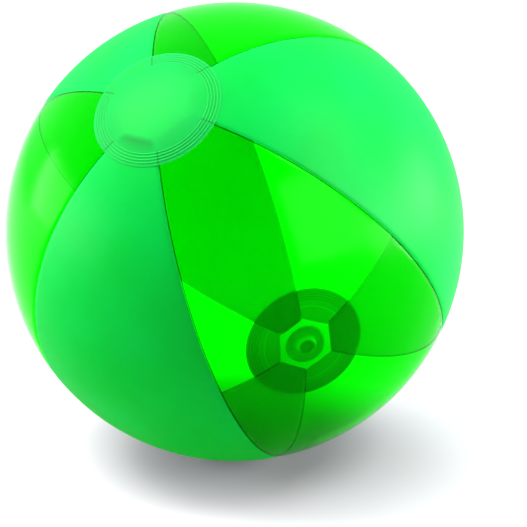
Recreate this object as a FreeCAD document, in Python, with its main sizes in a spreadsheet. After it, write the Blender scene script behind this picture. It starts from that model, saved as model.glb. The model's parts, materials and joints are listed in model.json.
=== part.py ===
import FreeCAD, Part
import math
import os
import re
import Sketcher
from FreeCAD import Placement, Rotation, Vector

# Inflated beach ball: six welded gores, a plain disc over one pole, a valve disc over the other.
# The gores are cut and welded by hand, so their widths differ by a few degrees.
# Every body is drawn about the ball's polar axis, with the ball's centre at its origin and its own
# pole along local +Z, and its Placement then tips it into the resting attitude on the floor.

sizeList = [
    # name, millimetres or degrees, meaning
    ("ballRadius", 117.5, "outside radius of the inflated ball"),
    ("filmThickness", 0.25, "thickness of the vinyl film"),
    ("fitGap", 0.04, "gap left between films and mouldings that lie on each other"),
    ("frostedOneAngle", 52.6, "angle the first frosted gore takes up round the polar axis"),
    ("clearOneAngle", 59.6, "angle of the first clear gore"),
    ("frostedTwoAngle", 64.2, "angle of the second frosted gore"),
    ("clearTwoAngle", 60.4, "angle of the second clear gore"),
    ("frostedThreeAngle", 57.7, "angle of the third frosted gore"),
    ("clearThreeAngle", 65.5, "angle of the third clear gore"),
    ("goreStart", 6, "radius where the uncut gore strip begins near a pole"),
    ("finDepth", 1.2, "how far the welded seam stands inwards from the film"),
    ("plainOpening", 17.5, "half width across flats of the opening under the plain disc"),
    ("valveOpening", 14.2, "half width across flats of the opening under the valve disc"),
    ("discRadius", 33, "outer radius of both pole discs"),
    ("weldRibRadius", 0.22, "radius of each raised weld ring"),
    ("weldRibFirst", 26.9, "radius of the innermost weld ring"),
    ("weldRibPitch", 1.48, "radial step from one weld ring to the next"),
    ("contactRadius", 12, "radius of the flat where the ball presses on the floor"),
    ("bulgeCutRadius", 14.4, "radius of the sketch that cuts the bulge under the ball away"),
    ("axisTilt", 40.94, "polar axis from vertical"),
    ("axisHeading", 240.58, "direction the polar axis leans to"),
    ("axisSpin", 209.3, "turn of the first seam about the polar axis"),
    ("collarBore", 6.2, "inner radius of the valve collar"),
    ("collarRadius", 7, "outer radius of the valve collar"),
    ("collarTop", 0.9, "height of the collar above the ball's surface"),
    ("collarFoot", -1, "depth of the collar's inner edge"),
    ("flangeRadius", 11.2, "outer radius of the welding flange"),
    ("flangeThickness", 0.45, "thickness of the welding flange"),
    ("webWall", 1.25, "height of the folding web's cut face"),
    ("webLow", -0.5, "where the web leaves the collar"),
    ("webHigh", 4.9, "where the web meets the stem"),
    ("stemBore", 3, "inner radius of the stem"),
    ("stemRadius", 4.5, "outer radius of the stem"),
    ("stemFoot", 3, "inner end of the stem"),
    ("stemTop", 13.6, "outer end of the stem"),
    ("lipRadius", 5.2, "radius of the stem's lip"),
    ("lipHeight", 0.85, "height of the stem's lip"),
    ("ringRadius", 5.5, "outer radius of the strap's ring"),
    ("ringFoot", 11.7, "lower face of the strap's ring"),
    ("ringTop", 12.7, "upper face of the strap's ring"),
    ("strapWidth", 3.2, "width of the plug's strap"),
    ("strapThickness", 0.7, "thickness of the plug's strap"),
    ("strapReach", 9.6, "radius where the strap turns back"),
    ("strapLow", 11.85, "underside of the strap's lower run"),
    ("strapHigh", 14.05, "underside of the strap's upper run"),
    ("headRadius", 5, "radius of the plug's head"),
    ("headFoot", 13.65, "underside of the plug's head"),
    ("headTop", 15.3, "top of the plug's head"),
    ("headChamfer", 0.5, "chamfer round the plug's head"),
    ("shankGap", 0.06, "clearance between plug and bore"),
    ("shankFoot", 8.2, "inner end of the plug's shank"),
    ("shankTaper", 1, "length of the shank's tapered tip"),
    ("flapRadius", 3.75, "radius of the check flap"),
    ("flapThickness", 0.5, "thickness of the check flap"),
    ("flapGap", 0.05, "gap between the check flap and the stem"),
    ("hingeOffset", 4.1, "distance of the flap's hinge from the stem's axis"),
    ("hingeWidth", 3, "width of the flap's hinge tab"),
]

aliases = {entry[0] for entry in sizeList}
weldRibCount = 4
gores = [
    # clockwise round the plain pole; the first one ends at the first seam
    ("panel_frosted_1", "frostedOneAngle"),
    ("panel_clear_1", "clearOneAngle"),
    ("panel_frosted_2", "frostedTwoAngle"),
    ("panel_clear_2", "clearTwoAngle"),
    ("panel_frosted_3", "frostedThreeAngle"),
    ("panel_clear_3", "clearThreeAngle"),
]

doc = FreeCAD.newDocument("BeachBall")
sheet = doc.addObject("Spreadsheet::Sheet", "Sizes")
for row, (alias, size, meaning) in enumerate(sizeList, start=1):
    sheet.set(f"A{row}", meaning)
    sheet.set(f"B{row}", str(size))
    sheet.setAlias(f"B{row}", alias)
doc.recompute()


def bound(text):
    # The expression that a formula of size names stands for.
    return re.sub(r"[a-z]\w*", lambda word: f"Sizes.{word[0]}" if word[0] in aliases else word[0], text)


def number(text):
    return float(sheet.evalExpression(bound(text)))


def newBody(label, placement):
    body = doc.addObject("PartDesign::Body", label)
    body.Label = label
    body.Placement = placement
    return body


def newSketch(body, name, role, offset=None):
    plane = next(f for f in body.Origin.OriginFeatures if f.Role == role)
    sketch = body.newObject("Sketcher::SketchObject", name)
    sketch.AttachmentSupport = (plane, "")
    sketch.MapMode = "FlatFace"
    if offset:
        sketch.AttachmentOffset = offset
    return sketch


def bind(sketch, kind, *arguments):
    # A dimension of the sketch, held by a formula of sizes.
    places = arguments[:-1]
    text = arguments[-1]
    index = sketch.addConstraint(Sketcher.Constraint(kind, *places, number(text)))
    sketch.setExpression(f"Constraints[{index}]", bound(text))


def placePoint(sketch, edge, end, across, along=None):
    origin = (-1, 1)
    verticalAxis = -2
    if across == "0":
        sketch.addConstraint(Sketcher.Constraint("PointOnObject", edge, end, verticalAxis))
    else:
        bind(sketch, "DistanceX", *origin, edge, end, across)
    if along is not None:
        bind(sketch, "DistanceY", *origin, edge, end, along)


def drawPolygon(sketch, corners, semicircles=()):
    # Straight edges from corner to corner. An edge listed in semicircles is a half turn instead,
    # counter-clockwise if its mark is 1 and clockwise if it is -1.
    halfTurns = dict(semicircles)
    points = [Vector(number(x), number(y), 0) for x, y in corners]
    count = len(points)
    ends = []
    for index, first in enumerate(points):
        second = points[(index + 1) % count]
        if index in halfTurns:
            middle = (first + second) / 2
            bulge = (second - first).cross(Vector(0, 0, halfTurns[index])) / 2
            edge = sketch.addGeometry(Part.Arc(first, middle + bulge, second))
            ends.append((edge, 1, 2) if halfTurns[index] > 0 else (edge, 2, 1))
            bind(sketch, "DistanceX", -1, 1, edge, 3, corners[index][0])
        else:
            edge = sketch.addGeometry(Part.LineSegment(first, second))
            ends.append((edge, 1, 2))
    for index in range(count):
        edge, start, _ = ends[index]
        before, _, finish = ends[index - 1]
        sketch.addConstraint(Sketcher.Constraint("Coincident", before, finish, edge, start))
    for index, (x, y) in enumerate(corners):
        edge, start, _ = ends[index]
        placePoint(sketch, edge, start, x, y)


def drawBand(sketch, outer, inner, upper, lower):
    # A band between two arcs about the origin. upper and lower are its ends, each a distance
    # from the axis and the side of the equator that it is on.
    circles = []
    for radius in (outer, inner):
        size = number(radius)
        high = number(upper[0])
        low = number(lower[0])
        highAngle = math.atan2(upper[1] * math.sqrt(size**2 - high**2), high)
        lowAngle = math.atan2(lower[1] * math.sqrt(size**2 - low**2), low)
        circle = Part.Circle(Vector(0, 0, 0), Vector(0, 0, 1), size)
        circles.append(sketch.addGeometry(Part.ArcOfCircle(circle, lowAngle, highAngle)))
    for arc, radius in zip(circles, (outer, inner)):
        sketch.addConstraint(Sketcher.Constraint("Coincident", arc, 3, -1, 1))
        bind(sketch, "Radius", arc, radius)
        placePoint(sketch, arc, 1, lower[0])
        placePoint(sketch, arc, 2, upper[0])
    for end in (1, 2):
        first = sketch.getPoint(circles[0], end)
        second = sketch.getPoint(circles[1], end)
        edge = sketch.addGeometry(Part.LineSegment(first, second))
        sketch.addConstraint(Sketcher.Constraint("Coincident", circles[0], end, edge, 1))
        sketch.addConstraint(Sketcher.Constraint("Coincident", edge, 2, circles[1], end))


def drawCircle(sketch, x, y, radius):
    centre = Vector(number(x), number(y), 0)
    circle = sketch.addGeometry(Part.Circle(centre, Vector(0, 0, 1), number(radius)))
    bind(sketch, "Radius", circle, radius)
    if x != "0":
        placePoint(sketch, circle, 3, x, y)
    else:
        sketch.addConstraint(Sketcher.Constraint("Coincident", circle, 3, -1, 1))


def revolve(body, sketch, angle=None):
    turned = body.newObject("PartDesign::Revolution", f"{sketch.Name}_turned")
    turned.Profile = sketch
    turned.ReferenceAxis = (sketch, ["V_Axis"])
    turned.Angle = 360
    if angle:
        turned.setExpression("Angle", bound(angle))
        turned.Midplane = True
    return turned


def pad(body, sketch, length, reverse=False, bothWays=False):
    padded = body.newObject("PartDesign::Pad", f"{sketch.Name}_padded")
    padded.Profile = sketch
    padded.setExpression("Length", bound(length))
    padded.Reversed = reverse
    padded.Midplane = bothWays
    return padded


def cutAll(body, sketch, reverse):
    # Cuts everything beyond the sketch on one side, and stops the script if nothing was there.
    doc.recompute()
    before = body.Shape.Volume
    pocket = body.newObject("PartDesign::Pocket", f"{sketch.Name}_cut")
    pocket.Profile = sketch
    pocket.Type = "ThroughAll"
    pocket.Reversed = reverse
    doc.recompute()
    if body.Shape.Volume >= before:
        raise RuntimeError(f"{sketch.Name} cuts nothing")
    return pocket


# The ball's resting attitude.
contactDepth = number("ballRadius - sqrt(ballRadius^2 - contactRadius^2)")
centre = Vector(0, 0, number("ballRadius") - contactDepth)
attitude = (
    Rotation(Vector(0, 0, 1), number("axisHeading"))
    * Rotation(Vector(0, 1, 0), number("axisTilt"))
    * Rotation(Vector(0, 0, 1), number("axisSpin"))
)
plainPole = Placement(centre, attitude)
valvePole = Placement(centre, attitude * Rotation(Vector(1, 0, 0), 180))
valveMouth = valvePole * Placement(Vector(0, 0, number("ballRadius")), Rotation())


def makeGore(label, angle, middleAngle):
    # One strip of film between two seams, with a welded fin along each edge inside the ball.
    place = plainPole * Placement(Vector(), Rotation(Vector(0, 0, 1), middleAngle))
    body = newBody(label, place)
    film = newSketch(body, f"{label}_film", "XZ_Plane")
    drawBand(film, "ballRadius", "ballRadius - filmThickness", ("goreStart", 1), ("goreStart", -1))
    revolve(body, film, angle)
    for side in (1, -1):
        turn = Rotation(Vector(0, 1, 0), side * number(angle) / 2)
        name = f"{label}_fin_{'left' if side > 0 else 'right'}"
        fin = newSketch(body, name, "XZ_Plane", Placement(Vector(), turn))
        drawBand(
            fin,
            "ballRadius - filmThickness / 2",
            "ballRadius - filmThickness - finDepth",
            ("goreStart", 1),
            ("goreStart", -1),
        )
        pad(body, fin, "filmThickness", reverse=side < 0)
    for opening, above in (("plainOpening", True), ("valveOpening", False)):
        tip = newSketch(body, f"{label}_{opening}", "XY_Plane")
        drawPolygon(
            tip,
            [
                ("-ballRadius", "-ballRadius"),
                (opening, "-ballRadius"),
                (opening, "ballRadius"),
                ("-ballRadius", "ballRadius"),
            ],
        )
        cutAll(body, tip, reverse=above)
    return body


def flattenContact(body):
    # The film lies flat on the floor under the ball: the bulge is cut off and closed by a disc.
    down = body.Placement.inverse().Rotation.multVec(Vector(0, 0, -1))
    plane = Placement(down * centre.z, Rotation(Vector(0, 0, 1), down))
    bulge = newSketch(body, "contact_bulge", "XY_Plane", plane)
    drawCircle(bulge, "0", "0", "bulgeCutRadius")
    cutAll(body, bulge, reverse=True)
    patch = newSketch(body, "contact_patch", "XY_Plane", plane)
    drawCircle(patch, "0", "0", "contactRadius")
    pad(body, patch, "filmThickness", reverse=True)


def makeDisc(label, place, hole):
    # A cap of film welded over the ends of the gores, with raised weld rings near its edge.
    body = newBody(label, place)
    film = newSketch(body, f"{label}_film", "XZ_Plane")
    outside = "ballRadius + fitGap + filmThickness"
    drawBand(film, outside, "ballRadius + fitGap", (hole, 1), ("discRadius", 1))
    revolve(body, film)
    ribs = newSketch(body, f"{label}_weld_rings", "XZ_Plane")
    for index in range(weldRibCount):
        reach = f"(weldRibFirst + {index} * weldRibPitch)"
        drawCircle(ribs, reach, f"sqrt(({outside})^2 - {reach}^2)", "weldRibRadius")
    revolve(body, ribs)
    return body


def turnedPiece(label, corners):
    # A round piece of the valve, drawn as half its section: distance from the valve's axis and
    # height above the ball's surface.
    body = newBody(label, valveMouth)
    section = newSketch(body, f"{label}_section", "XZ_Plane")
    drawPolygon(section, corners)
    revolve(body, section)
    return body


def sag(radius):
    # How far the inside of the film has dropped below the pole at a distance from the axis.
    return f"(ballRadius - fitGap - sqrt((ballRadius - fitGap)^2 - {radius}^2) + fitGap)"


def makeCollar():
    return turnedPiece(
        "valve_collar",
        [
            ("collarBore", "collarFoot"),
            ("flangeRadius", f"-{sag('flangeRadius')} - flangeThickness"),
            ("flangeRadius", f"-{sag('flangeRadius')}"),
            ("collarRadius", f"-{sag('collarRadius')}"),
            ("collarRadius", "collarTop"),
            ("collarBore", "collarTop"),
        ],
    )


def makeWeb():
    # The thin cone that turns inside out when the stem is pushed in.
    return turnedPiece(
        "valve_web",
        [
            ("collarBore - fitGap", "webLow"),
            ("collarBore - fitGap", "webLow + webWall"),
            ("stemRadius + fitGap", "webHigh + webWall"),
            ("stemRadius + fitGap", "webHigh"),
        ],
    )


def makeStem():
    return turnedPiece(
        "valve_stem",
        [
            ("stemBore", "stemFoot"),
            ("stemRadius", "stemFoot"),
            ("stemRadius", "stemTop - lipHeight"),
            ("lipRadius", "stemTop - lipHeight"),
            ("lipRadius", "stemTop - lipHeight / 3"),
            ("stemRadius + (lipRadius - stemRadius) / 2", "stemTop"),
            ("stemBore", "stemTop"),
        ],
    )


def makeStrapRing():
    return turnedPiece(
        "strap_ring",
        [
            ("stemRadius + fitGap", "ringFoot"),
            ("ringRadius", "ringFoot"),
            ("ringRadius", "ringTop"),
            ("stemRadius + fitGap", "ringTop"),
        ],
    )


def makePlug():
    return turnedPiece(
        "valve_plug",
        [
            ("0", "shankFoot"),
            ("stemBore - shankGap - shankTaper / 2", "shankFoot"),
            ("stemBore - shankGap", "shankFoot + shankTaper"),
            ("stemBore - shankGap", "headFoot"),
            ("headRadius", "headFoot"),
            ("headRadius", "headTop - headChamfer"),
            ("headRadius - headChamfer", "headTop"),
            ("0", "headTop"),
        ],
    )


def makeStrap():
    # A band that leaves the ring, turns back once and ends at the plug's head.
    body = newBody("plug_strap", valveMouth)
    side = newSketch(body, "plug_strap_side", "XZ_Plane")
    drawPolygon(
        side,
        [
            ("ringRadius + fitGap", "strapLow"),
            ("strapReach", "strapLow"),
            ("strapReach", "strapHigh + strapThickness"),
            ("headRadius + fitGap", "strapHigh + strapThickness"),
            ("headRadius + fitGap", "strapHigh"),
            ("strapReach", "strapHigh"),
            ("strapReach", "strapLow + strapThickness"),
            ("ringRadius + fitGap", "strapLow + strapThickness"),
        ],
        semicircles=[(1, 1), (5, -1)],
    )
    pad(body, side, "strapWidth", bothWays=True)
    return body


def makeFlap():
    # A leaf that closes the stem's inner end, with a tab at its hinge.
    body = newBody("check_flap", valveMouth)
    level = Placement(Vector(0, 0, number("stemFoot - flapGap")), Rotation())
    leaf = newSketch(body, "check_flap_leaf", "XY_Plane", level)
    drawCircle(leaf, "0", "0", "flapRadius")
    pad(body, leaf, "flapThickness", reverse=True)
    tab = newSketch(body, "check_flap_tab", "XY_Plane", level)
    drawPolygon(
        tab,
        [
            ("-hingeWidth / 2", "flapRadius / 2"),
            ("hingeWidth / 2", "flapRadius / 2"),
            ("hingeWidth / 2", "hingeOffset"),
            ("-hingeWidth / 2", "hingeOffset"),
        ],
    )
    pad(body, tab, "flapThickness", reverse=True)
    return body


pieces = []
edgeAngle = number(gores[0][1])
for name, angle in gores:
    pieces.append(makeGore(name, angle, edgeAngle - number(angle) / 2))
    edgeAngle -= number(angle)
flattenContact(next(piece for piece in pieces if piece.Label == "panel_frosted_3"))
pieces.append(makeDisc("disc_plain", plainPole, "0"))
pieces.append(makeDisc("disc_valve", valvePole, "(collarRadius + fitGap)"))
pieces += [makeCollar(), makeWeb(), makeStem(), makeStrapRing(), makeStrap(), makePlug(), makeFlap()]
doc.recompute()

for thing in doc.Objects:
    if "Invalid" in thing.State or "Error" in thing.State:
        raise RuntimeError(f"{thing.Name} failed: {thing.State}")
for piece in pieces:
    if piece.Shape.isNull() or not piece.Shape.isValid() or len(piece.Shape.Solids) != 1:
        raise RuntimeError(f"{piece.Label} is not one sound solid")

os.makedirs("parts", exist_ok=True)
for piece in pieces:
    piece.Shape.exportStep(f"parts/{piece.Label}.step")
    print(piece.Label, round(piece.Shape.Volume, 1), "mm3")
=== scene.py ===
import json
import math

import bmesh
import bpy
from mathutils import Matrix, Vector


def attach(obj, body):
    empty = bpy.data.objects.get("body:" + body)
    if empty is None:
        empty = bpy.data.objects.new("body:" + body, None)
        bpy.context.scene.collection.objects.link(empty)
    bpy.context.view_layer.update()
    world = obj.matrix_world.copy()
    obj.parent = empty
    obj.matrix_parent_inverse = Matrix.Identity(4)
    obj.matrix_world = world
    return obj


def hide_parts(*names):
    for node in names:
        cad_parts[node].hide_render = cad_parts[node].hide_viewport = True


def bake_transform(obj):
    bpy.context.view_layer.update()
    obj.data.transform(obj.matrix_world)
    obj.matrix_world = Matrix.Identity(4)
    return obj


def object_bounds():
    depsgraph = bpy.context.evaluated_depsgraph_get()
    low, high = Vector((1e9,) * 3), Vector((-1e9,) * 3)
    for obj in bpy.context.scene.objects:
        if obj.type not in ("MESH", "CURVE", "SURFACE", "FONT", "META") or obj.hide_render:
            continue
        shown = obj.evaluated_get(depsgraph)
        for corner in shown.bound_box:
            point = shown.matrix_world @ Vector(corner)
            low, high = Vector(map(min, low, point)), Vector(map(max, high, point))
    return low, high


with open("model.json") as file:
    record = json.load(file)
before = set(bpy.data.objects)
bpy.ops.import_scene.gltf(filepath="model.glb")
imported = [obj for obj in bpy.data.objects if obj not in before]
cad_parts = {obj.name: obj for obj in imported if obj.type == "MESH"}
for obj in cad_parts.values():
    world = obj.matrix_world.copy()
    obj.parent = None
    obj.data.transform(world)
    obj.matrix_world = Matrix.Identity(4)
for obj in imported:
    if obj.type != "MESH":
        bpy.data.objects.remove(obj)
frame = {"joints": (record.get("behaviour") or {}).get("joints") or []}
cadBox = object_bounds()
scene = bpy.context.scene

# where the ball stands, read from the frame: the stem slides along the polar axis, and the
# check flap's hinge is parallel to the plane of the first seam
jointAxes = {joint["name"]: Vector(joint["axis"]) for joint in frame["joints"]}
plainPole = jointAxes["valve_push"].normalized()
firstSeam = jointAxes["flap_swing"].normalized()

ball = {
    "radius": 0.1175,
    "filmThickness": 0.00025,
    # degrees that each gore takes up, clockwise round the plain pole; seam 1 ends the first one
    "goreWidths": (52.6, 59.6, 64.2, 60.4, 57.7, 65.5),
}
# sizes that the shapes share with the patterns on them
goreFilm = {
    "tipAngle": math.radians(5), "stepsAlong": 170, "stepsAcross": 48,
    "plainOpening": 0.0175, "valveOpening": 0.0142, "seamGap": 0.00034, "leastReach": 0.01,
    "creaseDepth": 0.0005, "creaseWidth": 0.0011,
    "puckerDepth": 0.00012, "puckerPitch": 0.0085, "puckerReach": 0.007,
}
poleDisc = {
    "radius": 0.033, "gap": 0.00004, "valveHole": 0.0071, "stepsOut": 150, "stepsRound": 180,
    "ribFirst": 0.0269, "ribPitch": 0.00148, "ribCount": 4, "ribHeight": 0.0002, "ribWidth": 0.00028,
    # the last value on the next line is the radius of a painted highlight ring
    "ringWidth": 0.00036, "tickWidth": 0.0006, "paintedHighlightRadius": 0.0231,
    # in ring pitches, from the first ring and from the last
    "ticksFrom": -0.6, "marginFrom": 0.3,
    # the two softnesses are the edges of the painted shade at the gores' tips and at the valve disc's edge
    "tipShadeSoftness": 0.0004, "edgeSoftness": 0.0003,
}
# the painted shade of one gore's tip seen through the plain disc
clingingShade = {"gore": 4, "softness": 0.003, "fadeStart": 0.0275, "fadeLength": 0.007}
goreWidths = [math.radians(width) for width in ball["goreWidths"]]
seamAngles = [-sum(goreWidths[1:index + 1]) for index in range(len(goreWidths))]
ballCentre = Vector((0, 0, cadBox[1][2] - ball["radius"]))
ballFrame = Matrix.Translation(ballCentre) @ Matrix(
    (firstSeam, plainPole.cross(firstSeam), plainPole)
).transposed().to_4x4()
valveFrame = ballFrame @ Matrix.Rotation(math.pi, 4, "X")
valveMouth = valveFrame @ Matrix.Translation((0, 0, ball["radius"]))
print("ball frame set")


def link(tree, start, end):
    tree.links.new(start, end)


def node(tree, kind, **values):
    made = tree.nodes.new(kind)
    for name, value in values.items():
        setattr(made, name, value)
    return made


def fill(tree, value, socket):
    # a socket takes another node's output or a plain value
    if isinstance(value, bpy.types.NodeSocket):
        link(tree, value, socket)
    else:
        socket.default_value = value


def maths(tree, operation, first, second=None, clamp=False):
    made = node(tree, "ShaderNodeMath", operation=operation, use_clamp=clamp)
    fill(tree, first, made.inputs[0])
    if second is not None:
        fill(tree, second, made.inputs[1])
    return made.outputs[0]


def mapRange(tree, value, fromLow, fromHigh, toLow, toHigh, kind="LINEAR"):
    made = node(tree, "ShaderNodeMapRange", interpolation_type=kind)
    limits = {"From Min": fromLow, "From Max": fromHigh, "To Min": toLow, "To Max": toHigh}
    for name, limit in limits.items():
        made.inputs[name].default_value = limit
    link(tree, value, made.inputs["Value"])
    return made.outputs[0]


def mixColours(tree, factor, first, second):
    # a Mix node's colours are its inputs 6 and 7 and its output 2
    mix = node(tree, "ShaderNodeMix", data_type="RGBA")
    for number, value in ((0, factor), (6, first), (7, second)):
        fill(tree, value, mix.inputs[number])
    return mix.outputs[2]


def mixShaders(tree, factor, first, second):
    made = node(tree, "ShaderNodeMixShader")
    for socket, value in zip(made.inputs, (factor, first, second)):
        fill(tree, value, socket)
    return made.outputs[0]


def newMaterial(name):
    material = bpy.data.materials.new(name)
    material.use_nodes = True
    material.node_tree.nodes.clear()
    return material, material.node_tree


def newGroup(name, values, outputs):
    # every group takes a vector and plain numbers, and gives numbers
    group = bpy.data.node_groups.new(name, "ShaderNodeTree")
    group.interface.new_socket("Vector", in_out="INPUT", socket_type="NodeSocketVector")
    for label, value in values.items():
        socket = group.interface.new_socket(label, in_out="INPUT", socket_type="NodeSocketFloat")
        socket.default_value = value
    for label in outputs:
        group.interface.new_socket(label, in_out="OUTPUT", socket_type="NodeSocketFloat")
    return group, node(group, "NodeGroupInput"), node(group, "NodeGroupOutput")


def useGroup(tree, group, **values):
    made = node(tree, "ShaderNodeGroup", node_tree=group)
    for name, value in values.items():
        fill(tree, value, made.inputs[name])
    return made


def polarPlace(tree, matrix):
    # coordinates about the ball's polar axis, so that a pattern lies along the gores
    coordinates = node(tree, "ShaderNodeTexCoord")
    mapping = node(tree, "ShaderNodeMapping", vector_type="TEXTURE")
    mapping.inputs["Location"].default_value = matrix.to_translation()
    mapping.inputs["Rotation"].default_value = matrix.to_euler()
    link(tree, coordinates.outputs["Object"], mapping.inputs["Vector"])
    return mapping.outputs["Vector"]


# calendered vinyl: long shallow waves with a fine grain on them
vinylSurface, groupIn, groupOut = newGroup(
    "vinylSurface", {"Wave scale": 18.0, "Grain scale": 900.0, "Grain share": 0.1}, ("Height", "Tone"))
waves = node(vinylSurface, "ShaderNodeTexNoise")
grain = node(vinylSurface, "ShaderNodeTexNoise")
for texture, scale, detail in ((waves, "Wave scale", 2.0), (grain, "Grain scale", 3.0)):
    texture.inputs["Detail"].default_value = detail
    link(vinylSurface, groupIn.outputs["Vector"], texture.inputs["Vector"])
    link(vinylSurface, groupIn.outputs[scale], texture.inputs["Scale"])
grainPart = maths(vinylSurface, "MULTIPLY", grain.outputs[0], groupIn.outputs["Grain share"])
link(vinylSurface, maths(vinylSurface, "ADD", waves.outputs[0], grainPart), groupOut.inputs["Height"])
link(vinylSurface, waves.outputs[0], groupOut.inputs["Tone"])


def flatDistance(tree, vector):
    # distance from the polar axis, and the vector across it
    split = node(tree, "ShaderNodeSeparateXYZ")
    link(tree, vector, split.inputs[0])
    flat = node(tree, "ShaderNodeCombineXYZ")
    link(tree, split.outputs[0], flat.inputs[0])
    link(tree, split.outputs[1], flat.inputs[1])
    reach = node(tree, "ShaderNodeVectorMath", operation="LENGTH")
    link(tree, flat.outputs[0], reach.inputs[0])
    return reach.outputs["Value"], flat.outputs[0]


def flatDot(tree, flat, angle):
    # how far a point lies out from the polar axis in one direction
    dot = node(tree, "ShaderNodeVectorMath", operation="DOT_PRODUCT")
    link(tree, flat, dot.inputs[0])
    dot.inputs[1].default_value = (math.cos(angle), math.sin(angle), 0)
    return dot.outputs["Value"]


def softStep(tree, value, start, softness):
    # 0 up to the start and 1 from the softness beyond it
    return maths(tree, "DIVIDE", maths(tree, "SUBTRACT", value, start), softness, clamp=True)


def softLine(tree, distance, width):
    # 1 on the line and 0 from its width away on either side
    away = maths(tree, "DIVIDE", maths(tree, "ABSOLUTE", distance), width)
    return maths(tree, "SUBTRACT", 1.0, away, clamp=True)


# weld rings near a disc's edge, and the ticks where the gores' seams pass under them; the group also gives
# a painted highlight ring at one radius inside the rings
discWelds, groupIn, groupOut = newGroup("discWelds", {
    "First ring": poleDisc["ribFirst"], "Ring pitch": poleDisc["ribPitch"],
    "Ring count": poleDisc["ribCount"], "Ring width": poleDisc["ringWidth"],
    "Tick width": poleDisc["tickWidth"], "Highlight radius": poleDisc["paintedHighlightRadius"],
}, ("Rings", "Ticks", "Margin", "Line"))
given = groupIn.outputs
reach, flat = flatDistance(discWelds, given["Vector"])
inwards = maths(discWelds, "SUBTRACT", reach, given["First ring"])
ringNumber = maths(discWelds, "DIVIDE", inwards, given["Ring pitch"])
lastRing = maths(discWelds, "SUBTRACT", given["Ring count"], 1.0)
nearest = maths(discWelds, "MINIMUM", maths(discWelds, "ROUND", ringNumber), lastRing)
nearest = maths(discWelds, "MAXIMUM", nearest, 0.0)
fromRing = maths(discWelds, "SUBTRACT", ringNumber, nearest)
fromRing = maths(discWelds, "MULTIPLY", fromRing, given["Ring pitch"])
ticks = 0.0
for angle in seamAngles:
    onThisSide = maths(discWelds, "GREATER_THAN", flatDot(discWelds, flat, angle), 0.0)
    line = softLine(discWelds, flatDot(discWelds, flat, angle + math.pi / 2), given["Tick width"])
    line = maths(discWelds, "MULTIPLY", line, onThisSide)
    ticks = maths(discWelds, "MAXIMUM", line, ticks)
underRings = maths(discWelds, "GREATER_THAN", ringNumber, poleDisc["ticksFrom"])
margin = maths(discWelds, "SUBTRACT", ringNumber, lastRing)
margin = maths(discWelds, "SUBTRACT", margin, poleDisc["marginFrom"], clamp=True)
# a painted highlight: a lighter ring at one radius, standing in for a reflection
fromPaintedHighlight = maths(discWelds, "SUBTRACT", reach, given["Highlight radius"])
for name, mask in {
    "Rings": softLine(discWelds, fromRing, given["Ring width"]),
    "Ticks": maths(discWelds, "MULTIPLY", ticks, underRings),
    "Margin": margin,
    "Line": softLine(discWelds, fromPaintedHighlight, given["Ring width"]),
}.items():
    link(discWelds, mask, groupOut.inputs[name])

# painted shade where the straight-cut tips of the gores lie behind a disc and let less light through:
# everything outside a hexagon
goreTipShade, groupIn, groupOut = newGroup(
    "goreTipShade", {"Opening": goreFilm["valveOpening"], "Softness": poleDisc["tipShadeSoftness"]}, ("Mask",))
flat = flatDistance(goreTipShade, groupIn.outputs["Vector"])[1]
furthest = 0.0
for seam, width in zip(seamAngles, goreWidths):
    furthest = maths(goreTipShade, "MAXIMUM", flatDot(goreTipShade, flat, seam + width / 2), furthest)
mask = softStep(goreTipShade, furthest, groupIn.outputs["Opening"], groupIn.outputs["Softness"])
link(goreTipShade, mask, groupOut.inputs["Mask"])

# painted shade where the gores' tips are welded under the valve disc, standing in for the light that the
# disc holds back
underDiscShade, groupIn, groupOut = newGroup(
    "underDiscShade", {"Radius": poleDisc["radius"], "Softness": poleDisc["edgeSoftness"]}, ("Mask",))
reach = flatDistance(underDiscShade, groupIn.outputs["Vector"])[0]
height = node(underDiscShade, "ShaderNodeSeparateXYZ")
link(underDiscShade, groupIn.outputs["Vector"], height.inputs[0])
mask = maths(underDiscShade, "SUBTRACT", groupIn.outputs["Radius"], reach)
mask = maths(underDiscShade, "DIVIDE", mask, groupIn.outputs["Softness"], clamp=True)
mask = maths(underDiscShade, "MULTIPLY", mask, maths(underDiscShade, "LESS_THAN", height.outputs[2], 0.0))
link(underDiscShade, mask, groupOut.inputs["Mask"])

# painted shade where one frosted gore's tip clings to the plain disc from behind, between its two seams
clingingTipShade, groupIn, groupOut = newGroup("clingingTipShade", {
    "Opening": goreFilm["plainOpening"], "Softness": clingingShade["softness"],
    "Fade start": clingingShade["fadeStart"], "Fade length": clingingShade["fadeLength"],
}, ("Mask",))
given = groupIn.outputs
reach, flat = flatDistance(clingingTipShade, given["Vector"])
seam, otherSeam = seamAngles[clingingShade["gore"]], seamAngles[clingingShade["gore"] - 1]
outwards = flatDot(clingingTipShade, flat, seam + goreWidths[clingingShade["gore"]] / 2)
mask = softStep(clingingTipShade, outwards, given["Opening"], given["Softness"])
for angle in (otherSeam - math.pi / 2, seam + math.pi / 2):
    side = flatDot(clingingTipShade, flat, angle)
    side = maths(clingingTipShade, "DIVIDE", side, given["Softness"], clamp=True)
    mask = maths(clingingTipShade, "MULTIPLY", mask, side)
fade = maths(clingingTipShade, "SUBTRACT", given["Fade start"], reach)
fade = maths(clingingTipShade, "DIVIDE", fade, given["Fade length"], clamp=True)
link(clingingTipShade, maths(clingingTipShade, "MULTIPLY", mask, fade), groupOut.inputs["Mask"])
print("shader groups built")

# the part of the noise's range that the colours and the roughness are spread over
toneRange = (0.3, 0.7)


def toneColour(tree, tone, dark, light):
    ramp = node(tree, "ShaderNodeValToRGB")
    for element, position, colour in zip(ramp.color_ramp.elements, toneRange, (dark, light)):
        element.position = position
        element.color = (*colour, 1)
    link(tree, tone, ramp.inputs[0])
    return ramp.outputs[0]


def recolour(tree, colour, mask, strength, other):
    return mixColours(tree, maths(tree, "MULTIPLY", mask, strength), colour, (*other, 1))


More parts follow.
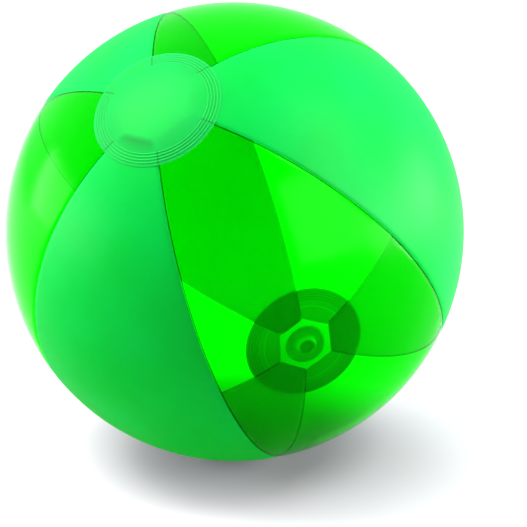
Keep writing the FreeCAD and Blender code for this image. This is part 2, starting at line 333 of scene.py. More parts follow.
def vinylGrain(tree, finish, vector):
    # the tone of the waves, and the roughness and the bump that follow them
    surface = useGroup(tree, vinylSurface, Vector=vector)
    surface.inputs["Wave scale"].default_value = finish["waveScale"]
    surface.inputs["Grain scale"].default_value = finish["grainScale"]
    tone = surface.outputs["Tone"]
    bump = node(tree, "ShaderNodeBump")
    bump.inputs["Strength"].default_value = finish["bump"]
    bump.inputs["Distance"].default_value = finish["bumpDistance"]
    link(tree, surface.outputs["Height"], bump.inputs["Height"])
    return tone, mapRange(tree, tone, *toneRange, *finish["roughness"]), bump.outputs[0]


def looksInwards(tree):
    # 1 on the faces that are turned towards the ball's centre
    coordinates = node(tree, "ShaderNodeTexCoord")
    outwards = node(tree, "ShaderNodeVectorMath", operation="SUBTRACT")
    link(tree, coordinates.outputs["Object"], outwards.inputs[0])
    outwards.inputs[1].default_value = ballCentre
    dot = node(tree, "ShaderNodeVectorMath", operation="DOT_PRODUCT")
    link(tree, outwards.outputs[0], dot.inputs[0])
    link(tree, coordinates.outputs["Normal"], dot.inputs[1])
    return maths(tree, "LESS_THAN", dot.outputs["Value"], 0.0)


def neutralForBounces(tree, seen, plain, isShadow=True):
    # light that only passes on its way to the floor or to other films isn't dyed by this one
    path = node(tree, "ShaderNodeLightPath")
    bounce = path.outputs["Is Diffuse Ray"]
    if isShadow:
        bounce = maths(tree, "MAXIMUM", bounce, path.outputs["Is Shadow Ray"])
    return mixShaders(tree, bounce, seen, plain)


def showFront(tree, film):
    # a film's back faces are clear, so that each wall counts once for a ray through it
    clear = node(tree, "ShaderNodeBsdfTransparent")
    facing = node(tree, "ShaderNodeNewGeometry").outputs["Backfacing"]
    output = node(tree, "ShaderNodeOutputMaterial")
    link(tree, mixShaders(tree, facing, film, clear.outputs[0]), output.inputs["Surface"])


def frostedVinyl(name, finish, patterns=(), place=ballFrame):
    # milky film: part of the light is scattered back and part glows through
    material, tree = newMaterial(name)
    vector = polarPlace(tree, place)
    tone, roughness, normal = vinylGrain(tree, finish, vector)
    masks = [
        (useGroup(tree, group, Vector=vector).outputs[output], strength, shade)
        for group, output, strength, shade in patterns
    ]
    # the gores' inner faces get painted shade, so the inside of the ball looks darker
    if "insideShadeShare" in finish:
        masks.append((looksInwards(tree), finish["insideShadeShare"], finish["insideShadeColour"]))
    colour = toneColour(tree, tone, finish["darkColour"], finish["lightColour"])
    glow = toneColour(tree, tone, finish["darkGlow"], finish["lightGlow"])
    for mask, strength, shade in masks:
        colour = recolour(tree, colour, mask, strength, shade)
        glow = recolour(tree, glow, mask, strength, shade)
    skin = node(tree, "ShaderNodeBsdfPrincipled")
    skin.inputs["Specular IOR Level"].default_value = finish["specular"]
    link(tree, colour, skin.inputs["Base Color"])
    link(tree, roughness, skin.inputs["Roughness"])
    link(tree, normal, skin.inputs["Normal"])
    through = node(tree, "ShaderNodeBsdfTranslucent")
    link(tree, glow, through.inputs["Color"])
    film = mixShaders(tree, finish["glowShare"], skin.outputs[0], through.outputs[0])
    greySkin = node(tree, "ShaderNodeBsdfDiffuse")
    greyThrough = node(tree, "ShaderNodeBsdfTranslucent")
    for grey in (greySkin, greyThrough):
        grey.inputs["Color"].default_value = (*finish["bounceColour"], 1)
    greyFilm = mixShaders(tree, finish["bounceGlow"], greySkin.outputs[0], greyThrough.outputs[0])
    showFront(tree, neutralForBounces(tree, film, greyFilm, isShadow=False))
    return material


def clearVinyl(name, finish):
    # tinted see-through film: the tint is taken once, where light enters the film
    material, tree = newMaterial(name)
    vector = polarPlace(tree, ballFrame)
    tone, roughness, normal = vinylGrain(tree, finish, vector)
    tint = toneColour(tree, tone, finish["darkTint"], finish["lightTint"])
    if "insideTint" in finish:
        reach = node(tree, "ShaderNodeVectorMath", operation="LENGTH")
        link(tree, vector, reach.inputs[0])
        isInside = maths(tree, "LESS_THAN", reach.outputs["Value"], finish["insideReach"])
        tint = recolour(tree, tint, isInside, 1.0, finish["insideTint"])
    window = node(tree, "ShaderNodeBsdfTransparent")
    link(tree, tint, window.inputs["Color"])
    greyWindow = node(tree, "ShaderNodeBsdfTransparent")
    greyWindow.inputs["Color"].default_value = (*finish["bounceColour"], 1)
    window = neutralForBounces(tree, window.outputs[0], greyWindow.outputs[0])
    gloss = node(tree, "ShaderNodeBsdfPrincipled")
    gloss.inputs["Metallic"].default_value = 1.0
    gloss.inputs["Base Color"].default_value = (*finish["glossColour"], 1)
    link(tree, roughness, gloss.inputs["Roughness"])
    link(tree, normal, gloss.inputs["Normal"])
    fresnel = node(tree, "ShaderNodeFresnel")
    fresnel.inputs["IOR"].default_value = finish["glossIor"]
    link(tree, normal, fresnel.inputs["Normal"])
    showFront(tree, mixShaders(tree, fresnel.outputs[0], window, gloss.outputs[0]))
    return material


frostedFinish = {
    "darkColour": (0.003, 0.90, 0.105), "lightColour": (0.005, 0.96, 0.16),
    "darkGlow": (0.0, 0.90, 0.004), "lightGlow": (0.0, 0.97, 0.006),
    "glowShare": 0.46, "specular": 0.13, "roughness": (0.36, 0.44),
    "bump": 0.1, "bumpDistance": 0.0005, "waveScale": 22.0, "grainScale": 1100.0,
    "bounceColour": (0.58, 0.62, 0.62), "bounceGlow": 0.33,
}
# the gores' inner faces are darkened with painted shade
goreFinish = dict(frostedFinish, insideShadeShare=0.37, insideShadeColour=(0.0, 0.10, 0.0))
clearFinish = {
    "darkTint": (0.004, 0.95, 0.004), "lightTint": (0.008, 0.99, 0.006),
    "glossColour": (0.97, 1.0, 0.97), "glossIor": 1.11, "roughness": (0.14, 0.22),
    "bump": 0.08, "bumpDistance": 0.0004, "waveScale": 16.0, "grainScale": 700.0,
    "bounceColour": (0.26, 0.272, 0.272),
}
weldFinish = dict(
    clearFinish, darkTint=(0.0, 0.36, 0.01), lightTint=(0.0, 0.46, 0.015), waveScale=60.0,
    insideTint=(0.0, 0.68, 0.02), insideReach=ball["radius"] - 0.001,
    glossColour=(0.1, 0.9, 0.2), glossIor=1.04,
)
mouldedFinish = {
    "darkColour": (0.02, 0.78, 0.10), "lightColour": (0.04, 0.88, 0.16),
    "darkGlow": (0.01, 0.80, 0.05), "lightGlow": (0.02, 0.90, 0.08),
    "glowShare": 0.45, "specular": 1.0, "roughness": (0.04, 0.09),
    "bump": 0.15, "bumpDistance": 0.0003, "waveScale": 120.0, "grainScale": 2200.0,
    "bounceColour": (0.55, 0.6, 0.6), "bounceGlow": 0.5,
}
# a darker copy of the moulded vinyl for the plug and the flap; on the flap the darker colour is painted
# shade, standing in for the dark of the valve's bore
plugAndFlapShadeFinish = dict(mouldedFinish, darkColour=(0.02, 0.60, 0.08), lightColour=(0.03, 0.68, 0.12))
discPatterns = {
    # the weld colour on the next line darkens the weld rings and ticks and also paints the shade of the
    # clinging gore tip
    "plainWeldAndShadeColour": (0.0, 0.30, 0.03), "rings": 0.42, "ticks": 0.65,
    "marginColour": (0.08, 0.95, 0.26), "margin": 0.5, "clingingShade": 0.55,
    # the next line's first colour and strength paint a highlight ring; its second colour and strength paint
    # shade where the gores' tips lie behind the valve disc, and the same colour darkens the valve disc's
    # weld rings
    "paintedHighlightColour": (0.03, 0.95, 0.10), "line": 0.6, "valveWeldAndShadeColour": (0.0, 0.26, 0.0), "tips": 0.55,
    # the first value on the next line is the strength of the painted shade on the gores under the valve
    # disc
    "underDiscShade": 0.05, "valveRings": 0.6,
}
plainDiscPatterns = [
    (discWelds, "Rings", discPatterns["rings"], discPatterns["plainWeldAndShadeColour"]),
    (discWelds, "Ticks", discPatterns["ticks"], discPatterns["plainWeldAndShadeColour"]),
    (discWelds, "Margin", discPatterns["margin"], discPatterns["marginColour"]),
    # the painted shade of the clinging gore tip
    (clingingTipShade, "Mask", discPatterns["clingingShade"], discPatterns["plainWeldAndShadeColour"]),
]
valveDiscPatterns = [
    # painted shade outside the hexagon of gore tips
    (goreTipShade, "Mask", discPatterns["tips"], discPatterns["valveWeldAndShadeColour"]),
    (discWelds, "Rings", discPatterns["valveRings"], discPatterns["valveWeldAndShadeColour"]),
    # a painted highlight ring
    (discWelds, "Line", discPatterns["line"], discPatterns["paintedHighlightColour"]),
]
gorePatterns = [
    # painted shade on the gores under the valve disc
    (underDiscShade, "Mask", discPatterns["underDiscShade"], discPatterns["valveWeldAndShadeColour"]),
    # the same painted highlight ring on the gores
    (discWelds, "Line", discPatterns["line"], discPatterns["paintedHighlightColour"]),
]

frosted = frostedVinyl("frostedVinyl", goreFinish, gorePatterns)
frostedPlainDisc = frostedVinyl("frostedPlainDisc", frostedFinish, plainDiscPatterns)
frostedValveDisc = frostedVinyl("frostedValveDisc", frostedFinish, valveDiscPatterns)
clearFilm = clearVinyl("clearVinyl", clearFinish)
weldedSeam = clearVinyl("weldedSeam", weldFinish)
mouldedVinyl = frostedVinyl("mouldedVinyl", mouldedFinish, place=valveMouth)
# the plug's and the flap's darker vinyl; on the flap it is painted shade
plugAndFlapShadeVinyl = frostedVinyl("plugAndFlapShadeVinyl", plugAndFlapShadeFinish, place=valveMouth)
print("materials built")


def arcProfile(radius, startAngle, endAngle, steps):
    # a meridian from one polar angle to another, in the XZ plane
    bm = bmesh.new()
    first = bm.verts.new((radius * math.sin(startAngle), 0, radius * math.cos(startAngle)))
    bmesh.ops.spin(bm, geom=[first], cent=(0, 0, 0), axis=(0, 1, 0), dvec=(0, 0, 0),
                   angle=endAngle - startAngle, steps=steps, use_duplicate=False)
    return bm


def spinProfile(bm, angle, steps, full=False):
    bmesh.ops.spin(bm, geom=bm.verts[:] + bm.edges[:], cent=(0, 0, 0), axis=(0, 0, 1),
                   dvec=(0, 0, 0), angle=angle, steps=steps, use_duplicate=False, use_merge=full)


mergeDistance = 1e-6
levelTolerance = 1e-7


def isLevel(edge):
    return abs(edge.verts[0].co.z - edge.verts[1].co.z) < levelTolerance


def isRound(edge):
    first, second = (vert.co.xy.length for vert in edge.verts)
    return isLevel(edge) and abs(first - second) < levelTolerance


def roundEdges(bm, fits, leastAngle, radius, segments):
    rims = [edge for edge in bm.edges if fits(edge) and edge.calc_face_angle(0) > leastAngle]
    bmesh.ops.bevel(bm, geom=rims, offset=radius, offset_type="OFFSET", segments=segments, profile=0.5,
                    affect="EDGES", clamp_overlap=True, material=-1)


def turnedSolid(corners, rounding, steps, closed=True):
    # a turned moulding from half its section, with its circular edges rounded
    bm = bmesh.new()
    verts = [bm.verts.new((reach, 0, height)) for reach, height in corners]
    for first, second in zip(verts, verts[1:]):
        bm.edges.new((first, second))
    if closed:
        bm.edges.new((verts[-1], verts[0]))
    spinProfile(bm, 2 * math.pi, steps, full=True)
    bmesh.ops.remove_doubles(bm, verts=bm.verts, dist=mergeDistance)
    roundEdges(bm, isRound, leastAngle=0.3, radius=rounding, segments=3)
    return bm


def finishPiece(bm, name, place, material, carrier, replaced):
    # carrier is one body, which the piece is attached to; otherwise it holds two bodies and two points,
    # which are not used, and the piece is left unattached
    bmesh.ops.remove_doubles(bm, verts=bm.verts, dist=mergeDistance)
    bmesh.ops.transform(bm, matrix=place, verts=bm.verts)
    bmesh.ops.recalc_face_normals(bm, faces=bm.faces)
    for face in bm.faces:
        face.smooth = True
    mesh = bpy.data.meshes.new(name)
    bm.to_mesh(mesh)
    bm.free()
    piece = bpy.data.objects.new(name, mesh)
    scene.collection.objects.link(piece)
    mesh.materials.append(material)
    if isinstance(carrier, str):
        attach(piece, carrier)
    else:
        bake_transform(piece)
    if replaced:
        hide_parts(replaced)
    return piece


def finishFilm(piece, lowest=None):
    # an open film has no inside of its own, so its faces are turned away from the ball's centre
    # before it is given its thickness; what would lie below the floor is flattened onto it
    bm = bmesh.new()
    bm.from_mesh(piece.data)
    if lowest is not None:
        for vert in bm.verts:
            vert.co.z = max(vert.co.z, lowest)
    middle = max(bm.faces, key=lambda face: face.calc_area())
    if middle.normal.dot(middle.calc_center_median() - ballCentre) < 0:
        bmesh.ops.reverse_faces(bm, faces=bm.faces)
    bm.to_mesh(piece.data)
    bm.free()
    wall = piece.modifiers.new("film", "SOLIDIFY")
    wall.thickness = ball["filmThickness"]
    wall.offset = -1.0


def shapeGore(bm, values, halfAngle):
    # closer columns towards the seams, then the crease and the small puckers beside each seam
    radius = ball["radius"]
    for vert in bm.verts:
        polar = math.acos(max(-1, min(1, vert.co.z / radius)))
        azimuth = math.atan2(vert.co.y, vert.co.x)
        reach = radius * math.sin(polar)
        limit = halfAngle - values["seamGap"] / max(reach, values["leastReach"])
        azimuth = limit * math.sin(math.pi / 2 * max(-1, min(1, azimuth / halfAngle)))
        toSeam = (halfAngle - abs(azimuth)) * reach
        crease = values["creaseDepth"] * math.exp(-((toSeam / values["creaseWidth"]) ** 2))
        wave = 0.5 + 0.5 * math.sin(2 * math.pi * polar * radius / values["puckerPitch"])
        fade = math.exp(-toSeam / values["puckerReach"]) * math.sin(polar) ** 2
        size = radius - crease - values["puckerDepth"] * wave * fade
        vert.co = size * Vector((
            math.sin(polar) * math.cos(azimuth), math.sin(polar) * math.sin(azimuth), math.cos(polar)
        ))


def cutTips(bm, values):
    # both ends of the strip are cut straight across, a little inside the disc that covers them
    for opening, side in ((values["plainOpening"], 1), (values["valveOpening"], -1)):
        faces = [face for face in bm.faces if face.calc_center_median().z * side > 0]
        geometry = list({vert for face in faces for vert in face.verts})
        geometry += list({edge for face in faces for edge in face.edges}) + faces
        bmesh.ops.bisect_plane(bm, geom=geometry, plane_co=(opening, 0, 0), plane_no=(-1, 0, 0),
                               clear_outer=True)


def makeGore(index, frostedOne):
    kind = "frosted" if frostedOne else "clear"
    label = f"{kind}_{index // 2 + 1}"
    bm = arcProfile(ball["radius"], goreFilm["tipAngle"], math.pi - goreFilm["tipAngle"],
                    goreFilm["stepsAlong"])
    width = goreWidths[index]
    bmesh.ops.rotate(bm, verts=bm.verts, cent=(0, 0, 0), matrix=Matrix.Rotation(-width / 2, 3, "Z"))
    spinProfile(bm, width, goreFilm["stepsAcross"])
    shapeGore(bm, goreFilm, width / 2)
    cutTips(bm, goreFilm)
    place = ballFrame @ Matrix.Rotation(seamAngles[index] + width / 2, 4, "Z")
    piece = finishPiece(bm, f"gore_{label}", place, frosted if frostedOne else clearFilm,
                        "body", f"panel_{label}")
    finishFilm(piece, lowest=cadBox[0][2])


for index in range(len(goreWidths)):
    makeGore(index, frostedOne=index % 2 == 0)
print("gores built")

seamWeld = {
    "halfWidth": 0.0003, "outside": 0.0006, "depth": 0.0014,
    "tipRadius": goreFilm["plainOpening"], "steps": 190,
}


def makeSeam(index):
    # the two edges melted together into one fin that stands into the ball
    startAngle = math.asin(seamWeld["tipRadius"] / ball["radius"])
    bm = bmesh.new()
    bmesh.ops.create_cube(bm, size=1)
    high = ball["radius"] - seamWeld["outside"]
    low = ball["radius"] - seamWeld["depth"]
    bmesh.ops.delete(bm, geom=[vert for vert in bm.verts if vert.co.z > 0], context="VERTS")
    for vert in bm.verts:
        aside = math.copysign(seamWeld["halfWidth"], vert.co.y)
        vert.co = Vector((high if vert.co.x > 0 else low, aside, 0))
    turn = Matrix.Rotation(startAngle - math.pi / 2, 3, "Y")
    bmesh.ops.rotate(bm, verts=bm.verts, cent=(0, 0, 0), matrix=turn)
    bmesh.ops.spin(bm, geom=bm.faces[:] + bm.edges[:] + bm.verts[:], cent=(0, 0, 0), axis=(0, 1, 0),
                   dvec=(0, 0, 0), angle=math.pi - 2 * startAngle, steps=seamWeld["steps"],
                   use_duplicate=False)
    place = ballFrame @ Matrix.Rotation(seamAngles[index], 4, "Z")
    finishPiece(bm, f"seam_weld_{index + 1}", place, weldedSeam, "body", None)


for index in range(len(seamAngles)):
    makeSeam(index)
print("seams built")


def makeDisc(name, cadNode, place, material, hole):
    size = ball["radius"] + poleDisc["gap"] + ball["filmThickness"]
    startAngle, endAngle = math.asin(hole / size), math.asin(poleDisc["radius"] / size)
    bm = arcProfile(size, startAngle, endAngle, poleDisc["stepsOut"])
    ribs = [poleDisc["ribFirst"] + poleDisc["ribPitch"] * k for k in range(poleDisc["ribCount"])]
    for vert in bm.verts:
        reach = vert.co.x
        rise = sum(
            poleDisc["ribHeight"] * math.exp(-(((reach - rib) / poleDisc["ribWidth"]) ** 2)) for rib in ribs
        )
        vert.co += vert.co.normalized() * rise
    spinProfile(bm, 2 * math.pi, poleDisc["stepsRound"], full=True)
    piece = finishPiece(bm, name, place, material, "body", cadNode)
    finishFilm(piece)


makeDisc("pole_disc_plain", "disc_plain", ballFrame, frostedPlainDisc, 0.0)
makeDisc("pole_disc_valve", "disc_valve", valveFrame, frostedValveDisc, poleDisc["valveHole"])
print("discs built")

# heights are above the ball's surface at the valve's pole
valve = {
    "steps": 96, "rounding": 0.00016, "fitGap": 0.00004,
    "collarBore": 0.0062, "collarRadius": 0.007, "collarTop": 0.0009, "collarFoot": -0.001,
    "flangeRadius": 0.0112, "flangeThickness": 0.00045, "flangeRidges": (0.0084, 0.0098),
    "ridgeWidth": 0.0004, "ridgeHeight": 0.00014, "ridgeFoot": 1.6,
    "webWall": 0.00125, "webLow": -0.0005, "webHigh": 0.0049, "webFolds": 3, "foldDepth": 0.0001,
    "foldSteps": 8, "stemBore": 0.003, "stemRadius": 0.0045, "stemFoot": 0.003, "stemTop": 0.0136,
    "lipRadius": 0.0052, "lipHeight": 0.00085, "beadRadius": 0.0047, "beadHeight": 0.0007,
    "beadSlope": 0.0001, "beadRise": 0.0002, "beadBack": 0.0003,
    "ringRadius": 0.0055, "ringFoot": 0.0117, "ringTop": 0.0127, "ringRounding": 0.0002,
    "strapWidth": 0.0032, "strapThickness": 0.0007, "strapReach": 0.0096,
    "strapLow": 0.01185, "strapHigh": 0.01405, "strapSteps": 12, "strapSides": 24,
    # the lower the power, the squarer the strap's section
    "strapWidePower": 0.25, "strapThinPower": 0.6,
    "headRadius": 0.005, "headFoot": 0.01365, "headTop": 0.0153, "headChamfer": 0.0005,
    "dishRadius": 0.0036, "dishDepth": 0.0003, "shankRadius": 0.00294, "shankFoot": 0.0082,
    "shankTaper": 0.001, "flapRadius": 0.00375, "flapThickness": 0.0005, "flapGap": 0.00005,
    "hingeOffset": 0.0041, "hingeWidth": 0.003,
    "flapRim": 0.0006, "flapSlope": 0.0002, "flapRise": 0.00012, "flapRounding": 0.0001,
}


def underFilm(reach):
    # height of the inner side of the film at a distance from the valve's axis
    size = ball["radius"] - valve["fitGap"]
    return math.sqrt(size ** 2 - reach ** 2) - size - valve["fitGap"]


def makeCollar():
    # upright collar and welding flange, with two fine ridges on the flange's inner face
    bore, foot = valve["collarBore"], valve["collarFoot"]
    edge = valve["flangeRadius"]
    edgeFoot = underFilm(edge) - valve["flangeThickness"]
    corners = [(bore, foot)]
    for ridge in valve["flangeRidges"]:
        level = foot + (edgeFoot - foot) * (ridge - bore) / (edge - bore)
        half = valve["ridgeWidth"] / 2
        foothold = valve["ridgeFoot"] * half
        low = level - valve["ridgeHeight"]
        corners += [(ridge - foothold, level), (ridge - half, low)]
        corners += [(ridge + half, low), (ridge + foothold, level)]
    side, top = valve["collarRadius"], valve["collarTop"]
    corners += [(edge, edgeFoot), (edge, underFilm(edge))]
    corners += [(side, underFilm(side)), (side, top), (bore, top)]
    return turnedSolid(corners, valve["rounding"], valve["steps"])


def makeWeb():
    # thin cone with shallow folds, between the collar and the stem
    outer = valve["collarBore"] - valve["fitGap"]
    inner = valve["stemRadius"] + valve["fitGap"]
    count = valve["webFolds"] * valve["foldSteps"]
    rise = valve["webHigh"] - valve["webLow"]
    low = []
    for step in range(count + 1):
        share = step / count
        wave = math.sin(2 * math.pi * valve["webFolds"] * share) * math.sin(math.pi * share)
        reach = outer + (inner - outer) * share + valve["foldDepth"] * wave
        low.append((reach, valve["webLow"] + share * rise))
    high = [(reach, height + valve["webWall"]) for reach, height in reversed(low)]
    return turnedSolid(low + high, valve["rounding"], valve["steps"])


def makeStem():
    bore, side, foot, top = valve["stemBore"], valve["stemRadius"], valve["stemFoot"], valve["stemTop"]
    bead, lip = valve["beadRadius"], valve["lipRadius"]
    beadTop, lipFoot = foot + valve["beadHeight"], top - valve["lipHeight"]
    return turnedSolid([
        (bore, foot), (bead - valve["beadSlope"], foot), (bead, foot + valve["beadRise"]), (bead, beadTop),
        (side, beadTop + valve["beadBack"]), (side, lipFoot), (lip, lipFoot),
        (lip, top - valve["lipHeight"] / 3), ((side + lip) / 2, top), (bore, top),
    ], valve["rounding"], valve["steps"])


def makeRing():
    inner, outer = valve["stemRadius"] + valve["fitGap"], valve["ringRadius"]
    low, high = valve["ringFoot"], valve["ringTop"]
    corners = [(inner, low), (outer, low), (outer, high), (inner, high)]
    return turnedSolid(corners, valve["ringRounding"], valve["steps"])


def makePlug():
    # tapered shank, round head with a shallow dish for the thumb
    shank, head, dish = valve["shankRadius"], valve["headRadius"], valve["dishRadius"]
    foot, top, chamfer = valve["shankFoot"], valve["headTop"], valve["headChamfer"]
    return turnedSolid([
        (0, foot), (shank - valve["shankTaper"] / 2, foot), (shank, foot + valve["shankTaper"]),
        (shank, valve["headFoot"]), (head, valve["headFoot"]), (head, top - chamfer), (head - chamfer, top),
        (dish, top), (dish - valve["dishDepth"], top - valve["dishDepth"]), (0, top - valve["dishDepth"]),
    ], valve["rounding"], valve["steps"], closed=False)


def extrudeFace(bm, face):
    # the new face and its points
    made = bmesh.ops.extrude_face_region(bm, geom=[face])["geom"]
    newFace = next(item for item in made if isinstance(item, bmesh.types.BMFace))
    return newFace, [item for item in made if isinstance(item, bmesh.types.BMVert)]


def squared(value, power):
    return math.copysign(abs(value) ** power, value)


def makeStrap():
    # rounded band that leaves the ring, turns back once and ends at the plug's head
    bm = bmesh.new()
    bmesh.ops.create_circle(bm, cap_ends=True, segments=valve["strapSides"], radius=1)
    start, end = valve["ringRadius"] + valve["fitGap"], valve["headRadius"] + valve["fitGap"]
    reach, low, thickness = valve["strapReach"], valve["strapLow"], valve["strapThickness"]
    for vert in bm.verts:
        flatSide, roundSide = vert.co.x, vert.co.y
        vert.co = Vector((
            start,
            squared(flatSide, valve["strapWidePower"]) * valve["strapWidth"] / 2,
            low + thickness / 2 + squared(roundSide, valve["strapThinPower"]) * thickness / 2,
        ))
    steps = valve["strapSteps"]
    turnCentre = Vector((reach, 0, (low + valve["strapHigh"] + thickness) / 2))
    outwards = Matrix.Translation(((reach - start) / steps, 0, 0))
    back = Matrix.Translation(((end - reach) / steps, 0, 0))
    bend = (Matrix.Translation(turnCentre) @ Matrix.Rotation(-math.pi / steps, 4, "Y")
            @ Matrix.Translation(-turnCentre))
    endCap = bm.faces[:][0]
    face = endCap
    for move in [outwards] * steps + [bend] * steps + [back] * steps:
        newFace, points = extrudeFace(bm, face)
        bmesh.ops.transform(bm, matrix=move, verts=points)
        if face != endCap:
            bmesh.ops.delete(bm, geom=[face], context="FACES_ONLY")
        face = newFace
    return bm


def makeFlap():
    # leaf with a hinge tab, raised a little in the middle
    bm = bmesh.new()
    bmesh.ops.create_circle(bm, cap_ends=True, segments=96, radius=valve["flapRadius"])
    top = valve["stemFoot"] - valve["flapGap"]
    for vert in bm.verts:
        if abs(vert.co.x) < valve["hingeWidth"] / 2 and vert.co.y > 0:
            vert.co.y = valve["hingeOffset"]
        vert.co.z = top
    lower, points = extrudeFace(bm, bm.faces[:][0])
    bmesh.ops.translate(bm, vec=(0, 0, -valve["flapThickness"]), verts=points)
    bmesh.ops.inset_region(bm, faces=[lower], thickness=valve["flapRim"], depth=0)
    bmesh.ops.inset_region(bm, faces=[lower], thickness=valve["flapSlope"], depth=valve["flapRise"])
    roundEdges(bm, isLevel, leastAngle=1.2, radius=valve["flapRounding"], segments=2)
    return bm


def valvePoint(height):
    return valveMouth @ Vector((0, 0, height))


webSpan = ("body", "stem", valvePoint(valve["webLow"] + valve["webWall"]), valvePoint(valve["webHigh"]))
strapFoot = valvePoint(valve["strapLow"] + valve["strapThickness"])
strapSpan = ("stem", "plug", strapFoot, valvePoint(valve["strapHigh"]))
for bm, name, material, carrier, slotName, cadNode in (
    (makeCollar(), "collar_moulding", mouldedVinyl, "body", "valve_vinyl", "valve_collar"),
    (makeWeb(), "folding_web", mouldedVinyl, webSpan, "valve_vinyl", "valve_web"),
    (makeStem(), "stem_tube", mouldedVinyl, "stem", "valve_vinyl", "valve_stem"),
    (makeRing(), "strap_loop", mouldedVinyl, "stem", "valve_vinyl", "strap_ring"),
    (makeStrap(), "plug_tether", mouldedVinyl, strapSpan, "valve_vinyl", "plug_strap"),
    (makePlug(), "plug_moulding", plugAndFlapShadeVinyl, "plug", "plug_vinyl", "valve_plug"),
    # the flap's darker vinyl is painted shade for the valve's bore
    (makeFlap(), "flap_leaf", plugAndFlapShadeVinyl, "flap", "flap_vinyl", "check_flap"),
):
    finishPiece(bm, name, valveMouth, material, carrier, cadNode)
print("valve built")

stage = {
    "floorSize": 9.0, "floorColour": (0.60, 0.60, 0.60),
    "frontBounce": 0.24, "backBounce": 0.95, "frontEdge": -0.15, "backEdge": 0.25,
    "liftNear": 0.0, "liftFar": 0.5, "nearReach": 0.035, "farReach": 0.14,
    "shadowCentre": (0.02, 0.0, 0.0),
    "tentColour": (0.84, 1.0, 0.985), "ambient": 1.05, "darkest": 0.02,
    "darkCentre": (-0.24, -0.968, 0.076), "darkFrom": -0.6, "darkTo": 0.62,
}


def seenByViewers(tree):
    # 1 for camera and glass rays, which see the backdrop brighter than it lights the ball
    path = node(tree, "ShaderNodeLightPath")
    return maths(tree, "MAXIMUM", path.outputs["Is Camera Ray"], path.outputs["Is Transmission Ray"])


bm = bmesh.new()
bmesh.ops.create_grid(bm, x_segments=2, y_segments=2, size=stage["floorSize"] / 2)
floorMesh = bpy.data.meshes.new("floor")
bm.to_mesh(floorMesh)
bm.free()
floor = bpy.data.objects.new("floor", floorMesh)
scene.collection.objects.link(floor)
material, tree = newMaterial("paleFloor")
matte = node(tree, "ShaderNodeBsdfDiffuse")
floorPlace = node(tree, "ShaderNodeTexCoord").outputs["Object"]
# the ball mirrors and is lit by a floor that is darker in front of it than behind
fromFront = node(tree, "ShaderNodeSeparateXYZ")
link(tree, floorPlace, fromFront.inputs[0])
bounceColour = mapRange(tree, fromFront.outputs[1], stage["frontEdge"], stage["backEdge"],
                        stage["frontBounce"], stage["backBounce"], kind="SMOOTHSTEP")
path = node(tree, "ShaderNodeLightPath")
isBounce = maths(tree, "MAXIMUM", path.outputs["Is Diffuse Ray"], path.outputs["Is Glossy Ray"])
floorColour = mixColours(tree, isBounce, (*stage["floorColour"], 1), bounceColour)
link(tree, floorColour, matte.inputs["Color"])
# away from the contact shadow the floor glows a little for viewers
shine = node(tree, "ShaderNodeEmission")
away = node(tree, "ShaderNodeVectorMath", operation="DISTANCE")
away.inputs[1].default_value = stage["shadowCentre"]
link(tree, floorPlace, away.inputs[0])
lift = mapRange(tree, away.outputs["Value"], stage["nearReach"], stage["farReach"],
                stage["liftNear"], stage["liftFar"], kind="SMOOTHSTEP")
link(tree, maths(tree, "MULTIPLY", seenByViewers(tree), lift), shine.inputs["Strength"])
both = node(tree, "ShaderNodeAddShader")
link(tree, matte.outputs[0], both.inputs[0])
link(tree, shine.outputs[0], both.inputs[1])
link(tree, both.outputs[0], node(tree, "ShaderNodeOutputMaterial").inputs["Surface"])
floorMesh.materials.append(material)

world = bpy.data.worlds.new("studio")
scene.world = world
world.use_nodes = True
tree = world.node_tree
tree.nodes.clear()
sky = node(tree, "ShaderNodeBackground")
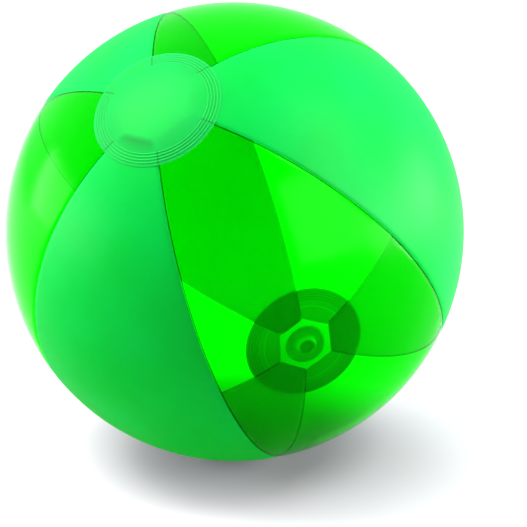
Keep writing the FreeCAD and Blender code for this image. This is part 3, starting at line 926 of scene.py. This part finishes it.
# the tent round the ball is darkest in front of it
direction = node(tree, "ShaderNodeTexCoord").outputs["Generated"]
frontness = node(tree, "ShaderNodeVectorMath", operation="DOT_PRODUCT")
link(tree, direction, frontness.inputs[0])
frontness.inputs[1].default_value = stage["darkCentre"]
tent = mapRange(tree, frontness.outputs["Value"], stage["darkFrom"], stage["darkTo"],
                stage["ambient"], stage["darkest"], kind="SMOOTHSTEP")
seen = seenByViewers(tree)
tentColour = mixColours(tree, seen, (*stage["tentColour"], 1), (1, 1, 1, 1))
link(tree, tentColour, sky.inputs["Color"])
strength = node(tree, "ShaderNodeMix", data_type="FLOAT")
for number, value in ((0, seen), (2, tent), (3, 1.0)):
    fill(tree, value, strength.inputs[number])
link(tree, strength.outputs[0], sky.inputs["Strength"])
link(tree, sky.outputs[0], node(tree, "ShaderNodeOutputWorld").inputs["Surface"])

softboxes = [
    # name, place, size, power; the sheen panel only shows as a reflection
    ("left softbox", (-1.3, 0.1, 0.26), (1.2, 0.42), 14.0),
    ("right softbox", (1.3, 0.1, 0.26), (1.2, 0.42), 21.0),
    ("top softbox", (-0.85, 0.05, 1.45), (0.9, 0.9), 31.0),
    ("key softbox", (0.96, -0.24, 1.37), (0.7, 0.7), 12.0),
    ("sheen panel", (0.95, -0.75, 0.6), (1.0, 0.9), 20.0),
]
for name, place, size, power in softboxes:
    lamp = bpy.data.lights.new(name, "AREA")
    lamp.shape = "RECTANGLE"
    lamp.size, lamp.size_y = size
    lamp.energy = power
    holder = bpy.data.objects.new(name, lamp)
    holder.location = place
    holder.rotation_euler = (ballCentre - Vector(place)).to_track_quat("-Z", "Y").to_euler()
    holder.visible_diffuse = name != "sheen panel"
    scene.collection.objects.link(holder)

cameraView = {
    "elevation": math.radians(20), "distance": 1.5397, "aimRight": 0.0148, "aimDown": 0.0163,
    "lens": 204.9, "sensor": 36.0, "nearest": 0.05, "furthest": 50,
}
forwards = Vector((0, math.cos(cameraView["elevation"]), -math.sin(cameraView["elevation"])))
upwards = Vector((0, math.sin(cameraView["elevation"]), math.cos(cameraView["elevation"])))
aim = ballCentre + Vector((cameraView["aimRight"], 0, 0)) - upwards * cameraView["aimDown"]
camera = bpy.data.cameras.new("camera")
camera.lens = cameraView["lens"]
camera.sensor_width = cameraView["sensor"]
camera.clip_start = cameraView["nearest"]
camera.clip_end = cameraView["furthest"]
viewer = bpy.data.objects.new("camera", camera)
viewer.location = aim - forwards * cameraView["distance"]
viewer.rotation_euler = forwards.to_track_quat("-Z", "Y").to_euler()
scene.collection.objects.link(viewer)
scene.camera = viewer
scene.view_settings.view_transform = "Standard"
print("stage, light and camera set")
